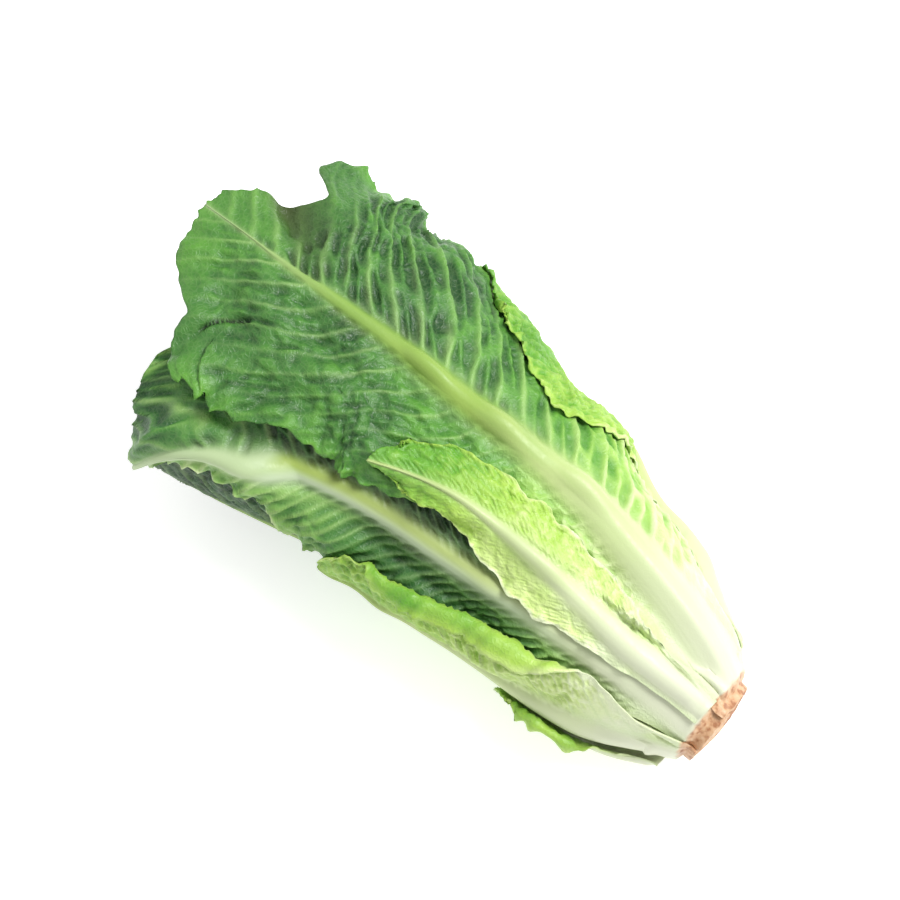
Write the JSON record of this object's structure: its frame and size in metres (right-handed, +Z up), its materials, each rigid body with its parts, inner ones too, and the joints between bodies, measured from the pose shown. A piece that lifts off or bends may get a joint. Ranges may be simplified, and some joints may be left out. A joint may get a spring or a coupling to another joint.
{
  "type": "romaine lettuce head",
  "caption": "Head of romaine lettuce lying on its side, long green leaves nested round a pale heart and a stem cut flat at the foot.",
  "frame": {"origin": "on the surface, under the middle of the head's bounding box", "axes": "+X along the head towards the cut foot, with the leaf tips at -X; +Z up, with the front leaf on top"},
  "size_m": [0.2928, 0.156, 0.0953],
  "materials": {
    "stem_flesh": "cream flesh, brown where it was cut",
    "heart_leaf": "pale yellow-green blade with a cream midrib",
    "light_leaf": "light green blade fading to cream at the root, faint sheen",
    "green_leaf": "mid-green blade with paler veins, faint sheen",
    "dark_leaf": "deep green puckered blade with pale veins, faint sheen"
  },
  "bodies": {
    "root": {"stem_core": "stem_flesh", "heart_leaf_1": "heart_leaf", "heart_leaf_2": "heart_leaf", "heart_leaf_3": "heart_leaf", "heart_leaf_4": "heart_leaf", "heart_leaf_5": "heart_leaf", "heart_leaf_6": "heart_leaf", "heart_leaf_7": "heart_leaf", "back_leaf": "green_leaf", "lower_leaf": "dark_leaf", "side_leaf": "green_leaf", "under_leaf_right": "green_leaf", "under_leaf_left": "green_leaf", "front_leaf": "dark_leaf", "wrap_leaf": "light_leaf", "fold_leaf": "light_leaf", "base_leaf": "light_leaf", "short_leaf": "light_leaf"}
  },
  "joints": []
}
